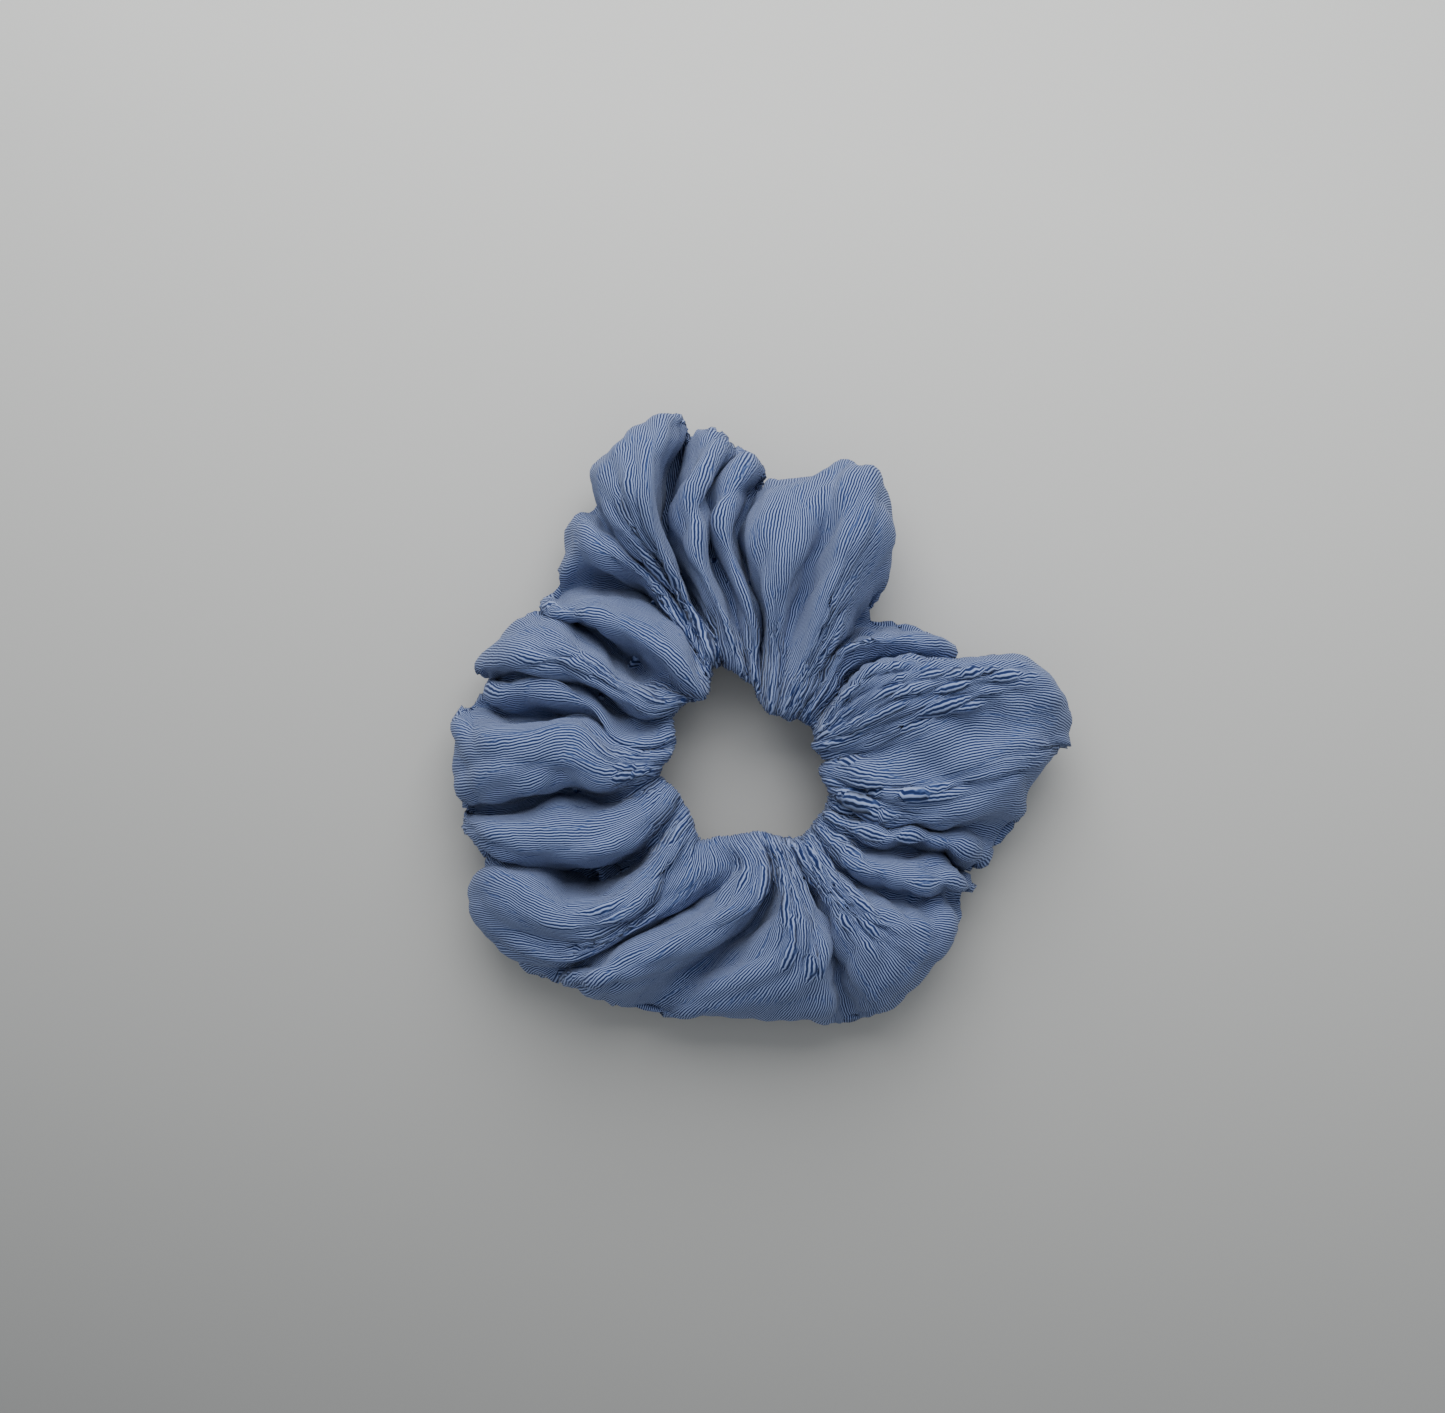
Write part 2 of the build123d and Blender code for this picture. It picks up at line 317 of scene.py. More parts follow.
    ((16, -11.5, 5), (21, -14.8, 6), (27, -16.5, 5), (33, -17, 3), (38.5, -17.5, 0), (44, -22, -7)),
    ((17, -10, 6), (22, -12.5, 8), (28, -13.8, 9), (34, -14, 8), (42, -16, 7), (48.5, -19.5, -2)),
    ((18, -8.5, 4), (23, -10.5, 5), (29, -12, 4), (36, -12.3, 3), (45, -12.5, 4), (52, -14.5, -5)),
    ((18.5, -7, 6), (24, -8.7, 8), (31, -10.3, 9), (39, -11, 10), (48, -8.5, 9), (56.5, -9, -2)),
    ((18, -5, 6), (25, -6.5, 9), (33, -7.5, 11), (42, -6, 12), (52, -4, 11), (58, -4, -1)),
)


def spline(knots, values, at):
    """Smooth curve through values at their knots, read at other knots."""
    knots = np.asarray(knots, float)
    values = np.asarray(values, float)
    slopes = np.gradient(values, knots, axis=0)
    i = np.clip(np.searchsorted(knots, at, side="right") - 1, 0, len(knots) - 2)
    span = knots[i + 1] - knots[i]
    t = ((at - knots[i]) / span)[:, None]
    span = span[:, None]
    return (
        values[i] * (1 + 2 * t) * (1 - t) ** 2
        + slopes[i] * span * t * (1 - t) ** 2
        + values[i + 1] * t * t * (3 - 2 * t)
        + slopes[i + 1] * span * t * t * (t - 1)
    )


def rib(fold, depth):
    """One closed turn of the tube: up the wall of the opening, along the fold, and back below.

    depth is 0 where the fold's underside lies on the table, and 1 where it is tucked up highest.
    """
    top = np.array(fold, float)
    start = top[0, :2]
    reach = np.hypot(*start)
    wall = start / reach * min(WALL_SHARE * reach + (1 - WALL_SHARE) * GRIP_RADIUS, WALL_FURTHEST)
    rim = top[-1]
    under = []
    for share, height in UNDERSIDE:
        spot = rim[:2] * share + wall * (1 - share) * UNDERSIDE_WALL
        under.append([*spot, LOWEST + height + TUCK * depth])
    under[0][2] = min(under[0][2], rim[2] - RIM_DROP)
    wall_mid = (*wall, 0.0)
    wall_low = (*(wall * WALL_FLARE), WALL_LOW)
    return np.array([wall_mid, *top, *under, wall_low, wall_mid])


def resample(closed, top_count):
    """Rows of points along a rib: the first half of them over the top, the rest underneath."""
    steps = np.r_[0, np.cumsum(np.linalg.norm(np.diff(closed, axis=0), axis=1))]
    knots = steps.copy()
    middle = steps[top_count]
    knots[: top_count + 1] *= 0.5 / middle
    knots[top_count + 1 :] = 0.5 + 0.5 * (steps[top_count + 1 :] - middle) / (steps[-1] - middle)
    return spline(knots, closed, np.arange(ROWS) / ROWS)


def cover_points():
    """Grid of points on the cover, columns round the ring and rows round the tube."""
    heights = np.array([np.mean([p[2] for p in fold[2:-1]]) for fold in FOLDS])
    around = (np.roll(heights, 1) + np.roll(heights, -1)) / 2
    depths = np.clip(0.5 - (heights - around) / TUCK_RANGE, 0, 1)
    ribs = np.array([resample(rib(f, d), len(f)) for f, d in zip(FOLDS, depths)])
    count = len(ribs)
    flat = ribs.reshape(count, -1)
    wrapped = np.concatenate([flat[-3:], flat, flat[:3]])
    knots = np.arange(-3, count + 3)
    fine = np.arange(FINE_COLUMNS + 1) / FINE_COLUMNS * count
    laid = spline(knots, wrapped, fine).reshape(-1, ROWS, 3)
    length = np.linalg.norm(np.diff(laid, axis=0), axis=2).mean(axis=1)
    length = np.r_[0, np.cumsum(length + EVENNESS * length.mean())]
    at = np.interp(np.arange(COLUMNS) / COLUMNS * length[-1], length, fine)
    return spline(knots, wrapped, at).reshape(COLUMNS, ROWS, 3)


def relaxed(points):
    """The cloth after it has settled: as a net of springs that has its cut length, held near the folds.

    The cloth has more length round the ring than the folds take up, so the rest buckles into small
    pleats. A light puff fills the tube, and nothing goes below the table.
    """
    columns, rows = points.shape[:2]
    flat_step = (CUT_LENGTH / columns, TUBE_GIRTH / rows)
    springs = []
    for offset, limit, stiffness in SPRINGS:
        away = np.roll(points, (-offset[0], -offset[1]), (0, 1)) - points
        length = np.linalg.norm(away, axis=2)
        flat = np.hypot(offset[0] * flat_step[0], offset[1] * flat_step[1])
        springs.append((offset, np.clip(flat, length, limit * length), stiffness))
    loose = 1 - np.abs(np.cos(np.pi * np.arange(rows) / rows)) ** HOLD_POWER
    hold = (HOLD_LOOSE + (HOLD_TIGHT - HOLD_LOOSE) * (1 - loose))[None, :, None]
    home = sharpened(points)
    points = home + pleat_seeds(home)
    for _ in range(ROUNDS):
        push = np.zeros_like(points)
        for offset, rest, stiffness in springs:
            away = np.roll(points, (-offset[0], -offset[1]), (0, 1)) - points
            length = np.linalg.norm(away, axis=2)
            pull = away * (stiffness * (1 - rest / np.maximum(length, 1e-6)))[..., None]
            push += pull - np.roll(pull, offset, (0, 1))
        puff = normals(points) * (PUFF * loose[None, :, None])
        points = points + push + puff + hold * (home - points)
        points[..., 2] = np.maximum(points[..., 2], TABLE + CLOTH_THICKNESS)
    return points


def sharpened(points):
    """The folds with deeper, narrower valleys between them, away from the opening."""
    level = points[..., 2]
    for _ in range(SMOOTHINGS):
        level = (np.roll(level, 1, 0) + level + np.roll(level, -1, 0)) / 3
    drop = np.minimum(points[..., 2] - level, 0)
    reach = np.hypot(points[..., 0], points[..., 1])
    clear = np.clip((reach - VALLEY_START) / VALLEY_FADE, 0, 1)
    over_top = np.arange(points.shape[1]) < points.shape[1] * TOP_SHARE
    deeper = points.copy()
    deeper[..., 2] += VALLEY_DEEPENING * drop * clear * over_top
    return deeper


def normals(points):
    """Outward directions of a grid's points."""
    along = np.roll(points, -1, 0) - np.roll(points, 1, 0)
    down = np.roll(points, -1, 1) - np.roll(points, 1, 1)
    across = np.cross(down, along)
    return across / np.maximum(np.linalg.norm(across, axis=2), 1e-9)[..., None]


def crisper(points):
    """The settled cloth with its folds drawn out from the smooth ring by a share of their height."""
    smooth = points
    for _ in range(CRISP_SMOOTHINGS):
        smooth = (np.roll(smooth, 1, 0) + smooth + np.roll(smooth, -1, 0)) / 3
    reach = np.hypot(points[..., 0], points[..., 1])
    share = CRISPNESS * np.clip((reach - GRIP_RADIUS) / OPENING_FADE, 0, 1)
    made = points + (points - smooth) * share[..., None]
    made[..., 2] = np.maximum(made[..., 2], TABLE + CLOTH_THICKNESS)
    return made


def waves(pitch, length, lean, seed):
    """Random waves on the flat cloth, of a pitch along the ring and a length across it, leaning aside."""
    dice = np.random.default_rng(seed)
    around = np.abs(np.fft.fftfreq(COLUMNS, CUT_LENGTH / COLUMNS))[:, None]
    sign = np.sign(np.fft.fftfreq(COLUMNS))[:, None]
    across = np.fft.rfftfreq(ROWS, TUBE_GIRTH / ROWS)[None, :]
    spectrum = np.fft.rfft2(dice.standard_normal((COLUMNS, ROWS)))
    off_pitch = (around * pitch - 1) * PITCH_FOCUS
    off_line = (across - sign * lean * around) * length
    spectrum *= np.exp(-(off_pitch**2) - off_line**2)
    field = np.fft.irfft2(spectrum, (COLUMNS, ROWS))
    return field / field.std()


def pleat_seeds(points):
    """Small bumps, long across the ring's length, from which the spare cloth buckles."""
    total = np.zeros((COLUMNS, ROWS))
    for i, (pitch, length, height) in enumerate(PLEATS):
        total += waves(pitch, length, 0.0, PLEAT_SEED + i) * height
    return normals(points) * total[..., None]


def creased(points):
    """The settled cloth with the creases the net is too coarse for: rounded ridges, sharp furrows."""
    total = np.zeros((COLUMNS, ROWS))
    for i, (pitch, length, lean, height) in enumerate(CREASES):
        total += (np.abs(waves(pitch, length, lean, CREASE_SEED + i)) - CREASE_MEAN) * height
    reach = np.hypot(points[..., 0], points[..., 1])
    total *= np.clip((reach - GRIP_RADIUS) / OPENING_FADE, CREASE_LEAST, 1)
    made = points + normals(points) * total[..., None]
    made[..., 2] = np.maximum(made[..., 2], TABLE + CLOTH_THICKNESS)
    return made


def sunk_seam(points):
    """The cover with its long seam drawn in a little, where the allowances pull."""
    rows = points.shape[1]
    away = np.abs(np.arange(rows) - round(SEAM_ROW_SHARE * rows))
    pull = SEAM_SINK * np.exp(-((away / SEAM_SINK_ROWS) ** 2))
    return points - normals(points) * pull[None, :, None]


def strip_faces(count, width, closed_along, closed_across, first=0):
    """Quads of a grid of points that has count places along it and width places across it."""
    faces = []
    for i in range(count if closed_along else count - 1):
        for j in range(width if closed_across else width - 1):
            a = first + i * width
            b = first + (i + 1) % count * width
            k = (j + 1) % width
            faces.append((a + j, b + j, b + k, a + k))
    return faces


def crowding(points):
    """How many times over the cloth is gathered across its lines at each point, as a power of two."""
    along = np.roll(points, -1, 0) - points
    down = np.roll(points, -1, 1) - points
    gap = np.linalg.norm(np.cross(along, down), axis=2) / np.maximum(np.linalg.norm(down, axis=2), 0.1)
    for axis, rounds in CROWD_SMOOTHINGS:
        for _ in range(rounds):
            gap = (np.roll(gap, 1, axis) + gap + np.roll(gap, -1, axis)) / 3
    return np.log2(CUT_LENGTH / len(points) / gap)


def cloth_lengths(rows, first, pitch, closed):
    """Distance along the ring and across it at each corner of a grid's faces."""
    wide = rows if closed else rows - 1
    i, j = np.divmod(np.arange(COLUMNS * wide), wide)
    i = i[:, None] + np.array([0, 1, 1, 0])
    j = j[:, None] + np.array([0, 0, 1, 1])
    return np.stack([i * CUT_LENGTH / COLUMNS, first + j * pitch], axis=-1).reshape(-1, 2)


def seam_allowances(points):
    """Where the two plies stand up inside the tube along its long seam: their base, rise and side."""
    row = round(SEAM_ROW_SHARE * points.shape[1])
    base = points[:, row]
    rise = -normals(points)[:, row]
    for _ in range(ALLOWANCE_SMOOTHINGS):
        rise = (np.roll(rise, 1, 0) + rise + np.roll(rise, -1, 0)) / 3
    rise /= np.linalg.norm(rise, axis=1)[:, None]
    ahead = np.roll(base, -1, 0) - np.roll(base, 1, 0)
    side = np.cross(ahead, rise)
    side /= np.linalg.norm(side, axis=1)[:, None]
    return base, rise, side


def cover_mesh(points):
    """The cover and its seam allowances as one mesh, in metres, with cloth lengths as UVs."""
    base, rise, side = seam_allowances(points)
    heights = np.linspace(CLOTH_THICKNESS, SEAM_ALLOWANCE, ALLOWANCE_ROWS)
    crowd = crowding(points)
    grids = [points.reshape(-1, 3)]
    faces = strip_faces(COLUMNS, ROWS, True, True)
    flat = [cloth_lengths(ROWS, 0.0, TUBE_GIRTH / ROWS, True)]
    crowds = [crowd.reshape(-1)]
    for face in (1, -1):
        ply = base[:, None] + rise[:, None] * heights[None, :, None]
        ply = ply + side[:, None] * face * (CLOTH_THICKNESS + PLY_GAP) / 2
        ply[..., 2] = np.maximum(ply[..., 2], TABLE + CLOTH_THICKNESS)
        first = sum(len(grid) for grid in grids)
        grids.append(ply.reshape(-1, 3))
        faces += strip_faces(COLUMNS, ALLOWANCE_ROWS, True, False, first)
        flat.append(cloth_lengths(ALLOWANCE_ROWS, TUBE_GIRTH, SEAM_ALLOWANCE / ALLOWANCE_ROWS, False))
        crowds.append(np.repeat(crowd[:, round(SEAM_ROW_SHARE * ROWS)], ALLOWANCE_ROWS))
    mesh = bpy.data.meshes.new("cloth_cover")
    mesh.from_pydata((np.vstack(grids) * MM).tolist(), [], faces)
    mesh.polygons.foreach_set("use_smooth", np.ones(len(faces), bool))
    mesh.uv_layers.new(name="cloth_mm").data.foreach_set("uv", np.vstack(flat).reshape(-1))
    mesh.attributes.new("crowd", "FLOAT", "POINT").data.foreach_set("value", np.concatenate(crowds))
    return mesh


def new_material(name):
    """A new principled material, with its node tree and its shader."""
    material = bpy.data.materials.new(name)
    material.use_nodes = True
    tree = material.node_tree
    return material, tree, tree.nodes["Principled BSDF"]


def node(tree, kind, inputs=(), **settings):
    """Add a node, set its settings, and set or link its inputs by index or name."""
    made = tree.nodes.new(kind)
    for key, value in settings.items():
        setattr(made, key, value)
    for key, value in dict(inputs).items():
        if isinstance(value, bpy.types.NodeSocket):
            tree.links.new(value, made.inputs[key])
        else:
            made.inputs[key].default_value = value
    return made


def maths(tree, operation, a, b=0.0, clamp=False):
    """Result of one operation on two sockets or numbers."""
    return node(tree, "ShaderNodeMath", {0: a, 1: b}, operation=operation, use_clamp=clamp).outputs[0]


def cloth_material():
    """Dusty blue crinkled crepe: fine wavy ridges across the tube, with painted light on their tops and
    painted shade between them.

    Where the gathers crowd the cloth, neighbouring ridges merge, so the lines stay as far apart.
    """
    material, tree, shader = new_material("crinkle_cloth")
    uv = node(tree, "ShaderNodeUVMap", uv_map="cloth_mm").outputs[0]
    split = node(tree, "ShaderNodeSeparateXYZ", {0: uv})
    along = split.outputs[0]
    down = split.outputs[1]
    crowd = node(tree, "ShaderNodeAttribute", attribute_name="crowd").outputs["Fac"]

    def noise(pitch, length, detail, seed):
        """Noise with its own scale along the ring and across it, from -1 to 1."""
        u = maths(tree, "MULTIPLY", along, 1 / pitch)
        v = maths(tree, "MULTIPLY", down, 1 / length)
        vector = node(tree, "ShaderNodeCombineXYZ", {0: u, 1: v, 2: seed}).outputs[0]
        settings = {"Vector": vector, "Scale": 1.0, "Detail": detail, "Roughness": 0.5}
        value = node(tree, "ShaderNodeTexNoise", settings).outputs[0]
        return maths(tree, "MULTIPLY", maths(tree, "SUBTRACT", value, 0.5), 2.0)

    def lines(pitch, seed):
        """Wavy lines at a pitch, from -1 in the furrows to 1 on the ridges."""
        wander = []
        for i, (amount, pitches, length) in enumerate((LINE_WOBBLE, LINE_DRIFT)):
            layer = noise(pitches * pitch, length, 1.0, seed + 3 * i)
            wander.append(maths(tree, "MULTIPLY", layer, amount))
        straight = maths(tree, "MULTIPLY", along, 1 / pitch)
        phase = maths(tree, "ADD", straight, maths(tree, "ADD", *wander))
        return maths(tree, "SINE", maths(tree, "MULTIPLY", phase, 2 * np.pi))

    crinkle = lines(CRINKLE_PITCH * 2**CROWD_LEVELS[0], 0.0)
    for level in CROWD_LEVELS[1:]:
        start, finish = (level + step for step in CROWD_STEP)
        settings = {"Value": crowd, "From Min": start, "From Max": finish}
        merged = node(tree, "ShaderNodeMapRange", settings).outputs[0]
        coarser = lines(CRINKLE_PITCH * 2**level, 11.0 * level)
        crinkle = node(tree, "ShaderNodeMix", {"Factor": merged, "A": crinkle, "B": coarser}).outputs[0]
    slub = noise(*SLUB)
    cloud = noise(*CLOUD)
    # Single threads, the pale ones painted glints
    fleck_and_glint = noise(*FLECK_AND_GLINT)
    tone = maths(tree, "MULTIPLY", crinkle, CRINKLE_SHADE_AND_LIGHT_SHARE)
    for layer, share in ((slub, SLUB_SHARE), (cloud, CLOUD_SHARE), (fleck_and_glint, FLECK_AND_GLINT_SHARE)):
        tone = maths(tree, "ADD", tone, maths(tree, "MULTIPLY", layer, share))
    tone = maths(tree, "ADD", tone, 0.5, clamp=True)
    # Painted shade in the furrows, the cloth's own colour between, and painted light on the ridges
    ramp = node(tree, "ShaderNodeValToRGB", {0: tone})
    stops = ramp.color_ramp.elements
    stops[0].position = 0.1
    stops[0].color = (*FURROW_PAINTED_SHADE, 1)
    stops[1].position = 0.9
    stops[1].color = (*RIDGE_PAINTED_LIGHT, 1)
    middle = stops.new(0.5)
    middle.color = (*CLOTH_COLOUR, 1)
    height = maths(tree, "ADD", crinkle, maths(tree, "MULTIPLY", slub, SLUB_RELIEF))
    bump = node(tree, "ShaderNodeBump", {"Height": height, "Strength": 0.5, "Distance": CRINKLE_DEPTH})
    tree.links.new(ramp.outputs[0], shader.inputs["Base Color"])
    tree.links.new(bump.outputs[0], shader.inputs["Normal"])
    shader.inputs["Roughness"].default_value = 0.92
    shader.inputs["Specular IOR Level"].default_value = 0.2
    shader.inputs["Sheen Weight"].default_value = 0.2
    shader.inputs["Sheen Roughness"].default_value = 0.5
    shader.inputs["Sheen Tint"].default_value = (0.75, 0.82, 1.0, 1)
    return material


def table_material():
    """Pale matt table, with painted shade that darkens it towards the lower edge of the camera's view."""
    material, tree, shader = new_material("table_with_painted_shade")
    place = node(tree, "ShaderNodeTexCoord").outputs["Object"]
    split = node(tree, "ShaderNodeSeparateXYZ", {0: place})
    lean = maths(tree, "ADD", split.outputs[1], maths(tree, "MULTIPLY", split.outputs[0], 0.2))
    dark, pale = TABLE_PAINTED_SHADE_SPAN
    settings = {"Value": lean, "From Min": dark, "From Max": pale}
    share = node(tree, "ShaderNodeMapRange", settings).outputs[0]
    # Painted shade: the table's own pale colour darkens towards the view's lower edge
    tree.links.new(two_tone(tree, share, TABLE_PAINTED_SHADE_AND_PALE), shader.inputs["Base Color"])
    shader.inputs["Roughness"].default_value = 0.9
    shader.inputs["Specular IOR Level"].default_value = 0.1
    return material


def two_tone(tree, share, colours):
    """Colour between a dark and a pale one, by a share from 0 to 1."""
    ramp = node(tree, "ShaderNodeValToRGB", {0: share})
    for stop, colour in zip(ramp.color_ramp.elements, colours):
        stop.color = (*colour, 1)
    return ramp.outputs[0]


def yarn_material(name, scale, detail, colours, relief, depth):
    """Matt yarn with strands of a scale and relief to match, with painted shade between the strands and
    painted light on them.
    """
    material, tree, shader = new_material(name)
    place = node(tree, "ShaderNodeTexCoord").outputs["Object"]
    settings = {"Vector": place, "Scale": scale, "Detail": detail}
    strands = node(tree, "ShaderNodeTexNoise", settings).outputs[0]
    bump = node(tree, "ShaderNodeBump", {"Height": strands, "Strength": relief, "Distance": depth})
    # Painted shade between the strands and painted light on them, from the same noise as their relief
    tree.links.new(two_tone(tree, strands, colours), shader.inputs["Base Color"])
    tree.links.new(bump.outputs[0], shader.inputs["Normal"])
    return material, shader


def thread_material():
    """Spun sewing thread, the cloth's blue a little darker, with its twist as fine bands of relief, painted
    shade between them and painted light on them.
    """
    material, shader = yarn_material("sewing_thread", 6000.0, 2.0, THREAD_SHADED_AND_LIT, 0.4, 0.00005)
    shader.inputs["Roughness"].default_value = 0.6
    shader.inputs["Sheen Weight"].default_value = 0.3
    return material


def elastic_material():
    """Off-white braid: matt yarn, with a little painted shade between its strands and painted light on
    them.
    """
    material, shader = yarn_material("braided_elastic", 2500.0, 3.0, BRAID_SHADED_AND_LIT, 0.5, 0.0001)
    shader.inputs["Roughness"].default_value = 0.8
    return material


def add_mesh(name, points, faces, material):
    """Smooth mesh from points in millimetres."""
    mesh = bpy.data.meshes.new(name)
    mesh.from_pydata((np.asarray(points) * MM).tolist(), [], faces)
    mesh.polygons.foreach_set("use_smooth", np.ones(len(faces), bool))
    mesh.materials.append(material)
    piece = bpy.data.objects.new(name, mesh)
    bpy.context.collection.objects.link(piece)
    return piece


def add_thread(name, path, closed, material):
    """Round thread along a path of points."""
    path = np.asarray(path, float)
    ahead = np.roll(path, -1, 0) - np.roll(path, 1, 0)
    if not closed:
        ahead[0] = path[1] - path[0]
        ahead[-1] = path[-1] - path[-2]
    ahead /= np.linalg.norm(ahead, axis=1)[:, None]
    side = np.cross(ahead, SLANT)
    side /= np.linalg.norm(side, axis=1)[:, None]
    up = np.cross(side, ahead)
    turn = 2 * np.pi * np.arange(THREAD_SIDES) / THREAD_SIDES
    ring = np.cos(turn)[None, :, None] * side[:, None] + np.sin(turn)[None, :, None] * up[:, None]
    points = (path[:, None] + ring * THREAD / 2).reshape(-1, 3)
    faces = strip_faces(len(path), THREAD_SIDES, closed, True)
    if not closed:
        faces.append(tuple(range(THREAD_SIDES))[::-1])
        faces.append(tuple(range(len(points) - THREAD_SIDES, len(points))))
    return add_mesh(name, points, faces, material)


def stitched(path, outward, depth, closed):
    """Path of a lockstitch: along the cloth's face, and down into it between two stitches."""
    path = np.asarray(path, float)
    ends = np.vstack([path, path[:1]]) if closed else path
    faces_out = np.vstack([outward, outward[:1]]) if closed else outward
    lengths = np.r_[0, np.cumsum(np.linalg.norm(np.diff(ends, axis=0), axis=1))]
    count = int(lengths[-1] / STITCH)
    stitch = ((0.0, -depth), (0.12, SURFACE_LIFT), (0.5, THREAD / 2), (0.88, SURFACE_LIFT))
    stations = []
    lifts = []
    for i in range(count):
        for share, lift in stitch:
            stations.append((i + share) * lengths[-1] / count)
            lifts.append(lift)
    places = np.stack([np.interp(stations, lengths, ends[:, k]) for k in range(3)], axis=1)
    out = np.stack([np.interp(stations, lengths, faces_out[:, k]) for k in range(3)], axis=1)
    out /= np.linalg.norm(out, axis=1)[:, None]
    return places + out * np.array(lifts)[:, None]


def add_cover(points, material):
    """The cloth cover, gathered as it lies, with the allowances of its long seam inside."""
    piece = bpy.data.objects.new("cloth_cover", cover_mesh(points))
    piece.data.materials.append(material)
    bpy.context.collection.objects.link(piece)
    thick = piece.modifiers.new("thickness", "SOLIDIFY")
    thick.thickness = CLOTH_THICKNESS * MM
    thick.offset = -1
    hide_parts("cover_left", "cover_right")
    return piece


def add_long_seam(points, material):
    """Needle and bobbin threads of the long seam, one on each face of the allowances."""
    base, rise, side = seam_allowances(points)
    made = []
    for name, face in (("needle", 1), ("bobbin", -1)):
        out = side * face
        line = base + rise * STITCH_RISE + out * (CLOTH_THICKNESS + PLY_GAP)
        line[:, 2] = np.maximum(line[:, 2], TABLE + 2 * CLOTH_THICKNESS)
        path = stitched(line, out, CLOTH_THICKNESS, True)
        piece = add_thread(f"long_seam_{name}_thread", path, True, material)
        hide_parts(f"long_seam_{name}_thread_left", f"long_seam_{name}_thread_right")
        made.append(piece)
    return made


def add_closing_seam(points, material):
    """Needle and bobbin threads of the closing seam, round the tube inside and outside the cloth."""
    away = np.linalg.norm(points - np.array(FOLDS[CLOSING_FOLD][3]), axis=2)
    column = np.argmin(away.min(axis=1))
    line = points[column]
    out = normals(points)[column]
    made = []
    for name, face, lift in (("needle", 1, 0.0), ("bobbin", -1, CLOTH_THICKNESS)):
        path = stitched(line - out * lift, out * face, CLOTH_THICKNESS / 2, True)
        piece = add_thread(f"closing_seam_{name}_thread", path, True, material)
        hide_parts(f"closing_seam_{name}_thread")
        made.append(piece)
    return made


def elastic_radius(turned, inner):
    """Radius of the elastic's inner face, that many degrees from its bottom end."""
    climb = np.clip((turned - 360 + ELASTIC_RAMP) / ELASTIC_RAMP, 0, 1)
    return inner + (ELASTIC_THICKNESS + PLY_GAP) * (1 - np.cos(np.pi * climb)) / 2


def add_elastic(material):
    """Flat braided elastic, bent into a loop with its ends lapped on the left."""
    low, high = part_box("elastic_band")
    inner = high[0] / MM - ELASTIC_THICKNESS
    width = (high[2] - low[2]) / MM
    lap = np.degrees(ELASTIC_LAP / inner)
    turned = np.linspace(0, 360 + lap, ELASTIC_STEPS)
    angle = np.radians(180 - lap / 2 + turned)
    radius = elastic_radius(turned, inner)
    half = ELASTIC_THICKNESS / 2
    across = np.linspace(-width / 2, width / 2, BRAID_COLUMNS)
    along = radius * np.radians(turned)
    inside = np.stack([np.full(BRAID_COLUMNS, -half), across], axis=1)
    outside = np.stack([np.full(BRAID_COLUMNS, half), across[::-1]], axis=1)
    profile = np.vstack([inside, outside])
    strands = np.cos(2 * np.pi * (along[:, None] / BRAID_PITCH + np.abs(profile[None, :, 1]) / BRAID_PITCH))
    relief = BRAID_RELIEF * (strands - 1) / 2 * np.sign(profile[None, :, 0])
    edge = np.clip((width / 2 - np.abs(profile[:, 1])) / BRAID_EDGE, 0, 1) ** 0.5
    depth = (profile[None, :, 0] + relief) * (BRAID_EDGE_SHARE + (1 - BRAID_EDGE_SHARE) * edge[None, :])
    reach = radius[:, None] + half + depth
    height = np.broadcast_to(profile[None, :, 1], reach.shape)
    points = np.stack([reach * np.cos(angle)[:, None], reach * np.sin(angle)[:, None], height], axis=2)
    count = len(profile)
    faces = strip_faces(len(turned), count, False, True)
    faces.append(tuple(range(count))[::-1])
    faces.append(tuple(range((len(turned) - 1) * count, len(turned) * count)))
    piece = add_mesh("elastic_band_braid", points.reshape(-1, 3), faces, material)
    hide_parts("elastic_band")
    return piece, inner, width, lap


def add_elastic_join(inner, width, lap, material):
    """Zigzag threads across the elastic's lapped ends, on both faces."""
    made = []
    outer = inner + 2 * ELASTIC_THICKNESS + PLY_GAP
    for name, face in (("needle", outer), ("bobbin", inner)):
        margin = np.degrees(ZIGZAG_MARGIN / inner)
        turns = np.radians(np.linspace(180 - lap / 2 + margin, 180 + lap / 2 - margin, ZIGZAG_LEGS + 1))
        rise = np.where(np.arange(ZIGZAG_LEGS + 1) % 2, 1, -1) * (width / 2 - ZIGZAG_MARGIN)
        path = np.stack([face * np.cos(turns), face * np.sin(turns), rise], axis=1)
        piece = add_thread(f"elastic_join_{name}_zigzag", path, False, material)
        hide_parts(f"elastic_join_{name}_thread")
        made.append(piece)
    return made


def add_table():
    """Table top, far larger than the view."""
    bpy.ops.mesh.primitive_plane_add(size=TABLE_SIZE, location=(0, 0, TABLE * MM))
    table = bpy.context.object
    table.name = "table_top"
    table.data.materials.append(table_material())


def add_light(name, place, size, power):
    """Square soft box that points at the scrunchie, its place and size in millimetres."""
    data = bpy.data.lights.new(name, "AREA")
    data.shape = "SQUARE"
    data.size = size * MM
    data.energy = power
    light = bpy.data.objects.new(name, data)
    light.location = np.array(place) * MM
    light.rotation_euler = (-light.location).to_track_quat("-Z", "Y").to_euler()
    light.visible_camera = False
    bpy.context.collection.objects.link(light)


def add_sky_light(strength):
    """Even soft light from straight above."""
    data = bpy.data.lights.new("ceiling", "SUN")
    data.energy = strength
    data.angle = np.radians(SKY_SPREAD)
    light = bpy.data.objects.new("ceiling", data)
    bpy.context.collection.objects.link(light)


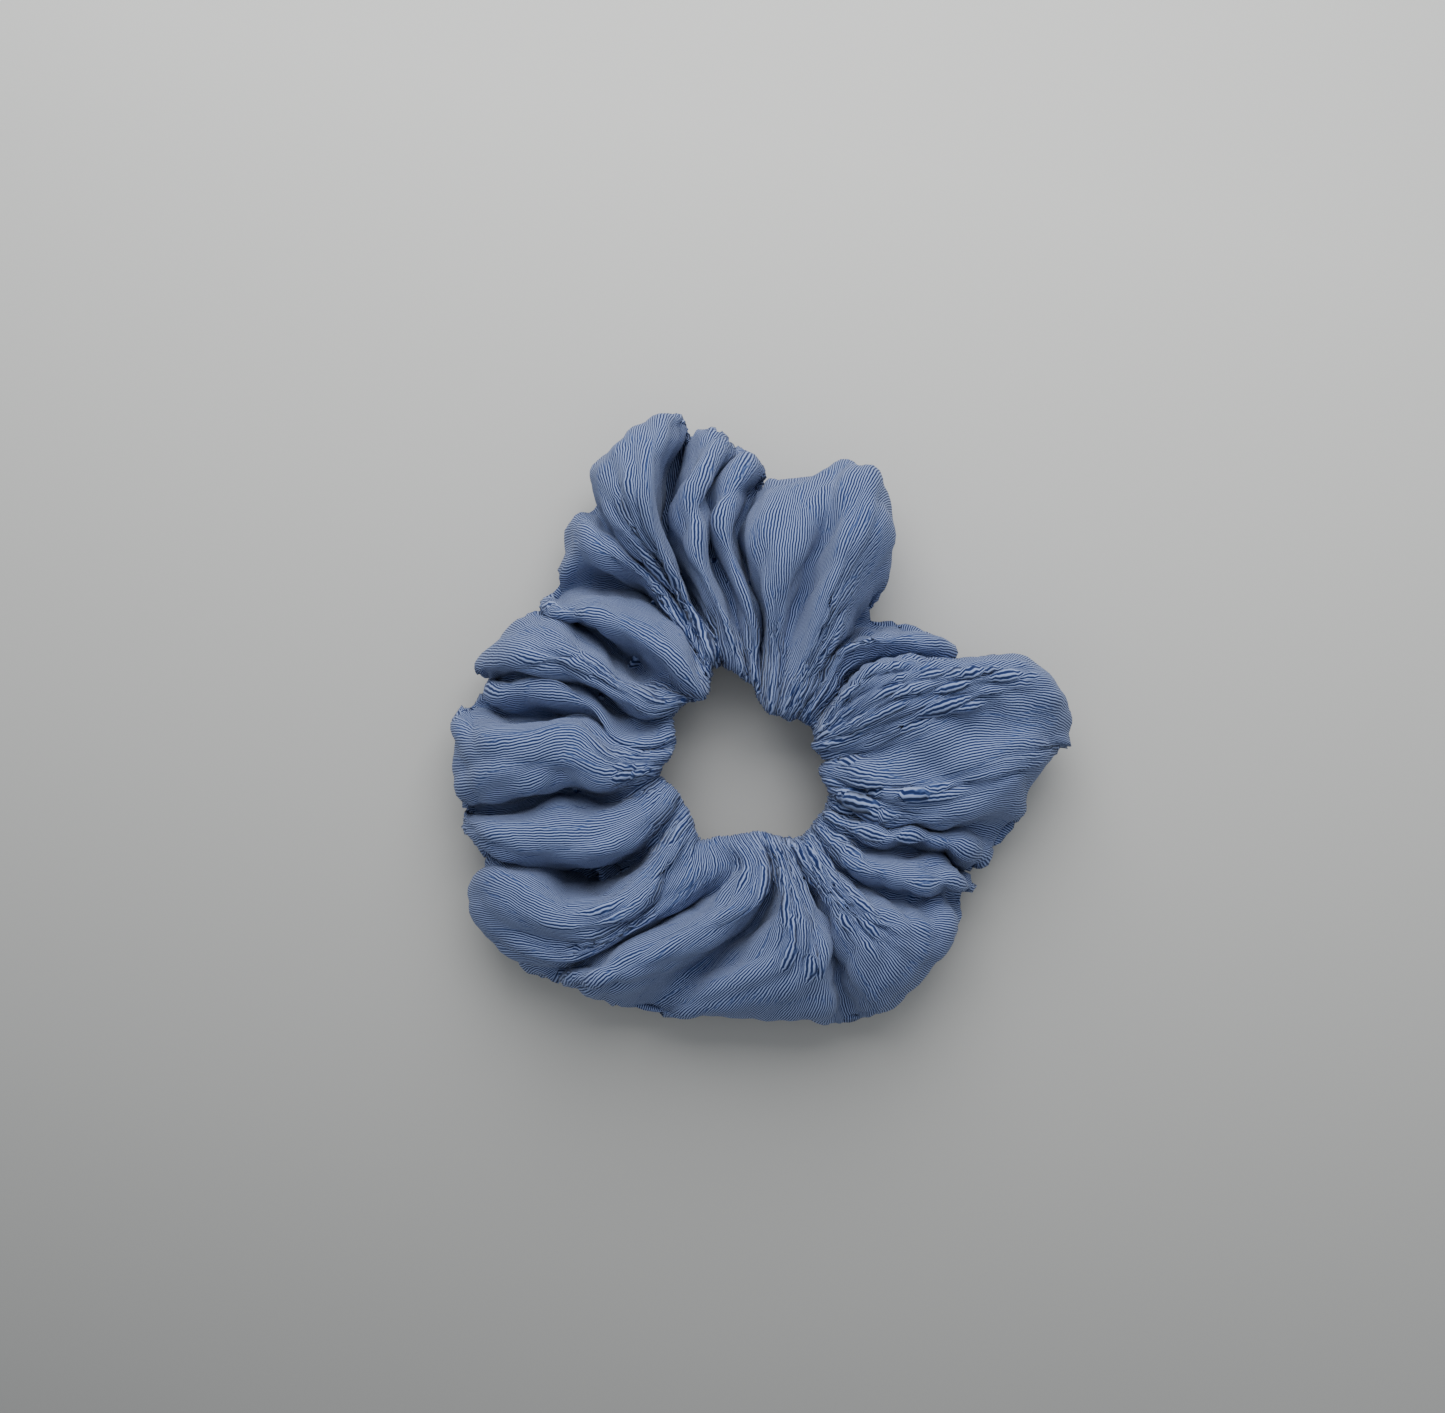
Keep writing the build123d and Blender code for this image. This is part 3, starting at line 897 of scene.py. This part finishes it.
def add_camera():
    """Camera straight above the table."""
    data = bpy.data.cameras.new("camera")
    data.sensor_width = SENSOR
    data.lens = SENSOR * CAMERA_HEIGHT / VIEW_WIDTH
    camera = bpy.data.objects.new("camera", data)
    camera.location = (VIEW_CENTRE[0] * MM, VIEW_CENTRE[1] * MM, CAMERA_HEIGHT * MM)
    bpy.context.collection.objects.link(camera)
    bpy.context.scene.camera = camera


def add_world(strength):
    """Even, slightly blue light from all round."""
    world = bpy.data.worlds.new("studio")
    world.use_nodes = True
    world.node_tree.nodes["Background"].inputs[0].default_value = (0.9, 0.95, 1.0, 1)
    world.node_tree.nodes["Background"].inputs[1].default_value = strength
    bpy.context.scene.world = world


def clear_of_elastic(points):
    """The cloth pushed off the flat elastic inside it, the shorter way out."""
    low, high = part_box("elastic_band")
    outer = -low[0] / MM + ELASTIC_ROOM
    inner = high[0] / MM - ELASTIC_THICKNESS - ELASTIC_ROOM
    top = high[2] / MM + ELASTIC_ROOM
    middle = (inner + outer) / 2
    reach = np.hypot(points[..., 0], points[..., 1])
    across = (reach - middle) / (outer - middle)
    up = points[..., 2] / top
    inside = np.maximum(np.abs(across), np.abs(up)) < 1
    sideways = inside & (np.abs(across) > np.abs(up))
    pushed = points.copy()
    shift = (middle + np.sign(across) * (outer - middle)) / reach
    pushed[..., :2] *= np.where(sideways, shift, 1.0)[..., None]
    pushed[..., 2] = np.where(inside & ~sideways, np.sign(up) * top, points[..., 2])
    return pushed


def gathered_cloth():
    """Grid of points of the whole cover."""
    points = cover_points()
    points = creased(crisper(relaxed(points)))
    return clear_of_elastic(sunk_seam(points))


add_camera()
add_table()
add_world(WORLD_STRENGTH)
add_light("window", WINDOW_PLACE, WINDOW_SIZE, WINDOW_POWER)
add_sky_light(SKY_STRENGTH)

cloth = gathered_cloth()
thread = thread_material()
cover = add_cover(cloth, cloth_material())
pieces = [cover, *add_long_seam(cloth, thread), *add_closing_seam(cloth, thread)]
elastic, elastic_inner, elastic_width, elastic_lap = add_elastic(elastic_material())
pieces += [elastic, *add_elastic_join(elastic_inner, elastic_width, elastic_lap, thread)]
for piece in pieces:
    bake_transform(piece)
